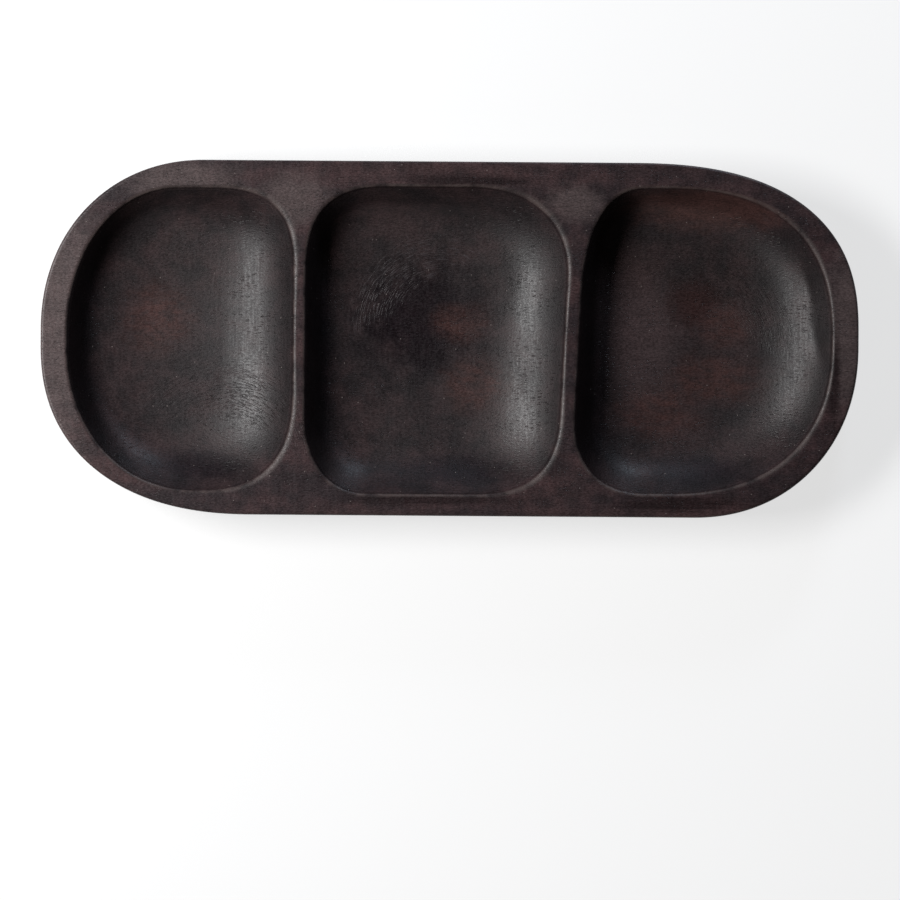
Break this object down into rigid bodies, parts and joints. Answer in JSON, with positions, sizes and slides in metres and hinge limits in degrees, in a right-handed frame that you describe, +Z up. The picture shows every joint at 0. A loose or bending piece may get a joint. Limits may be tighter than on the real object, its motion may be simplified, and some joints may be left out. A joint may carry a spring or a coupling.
{
  "type": "wooden serving bowl with wells",
  "caption": "Shallow oval serving dish carved from one wood block, with a flat rim, round-cornered wells in a row, thin ridges between them and a rounded underside.",
  "frame": {"origin": "middle of the flat base", "axes": "+X along the bowl, from the left well to the right one, +Y from front to back, +Z up out of the wells"},
  "size_m": [0.3, 0.13, 0.022],
  "materials": {
    "stained_wood": "dark stained hardwood with a satin oiled surface, fine pores and long grain"
  },
  "bodies": {
    "root": {"carved_bowl": "stained_wood"}
  },
  "joints": []
}
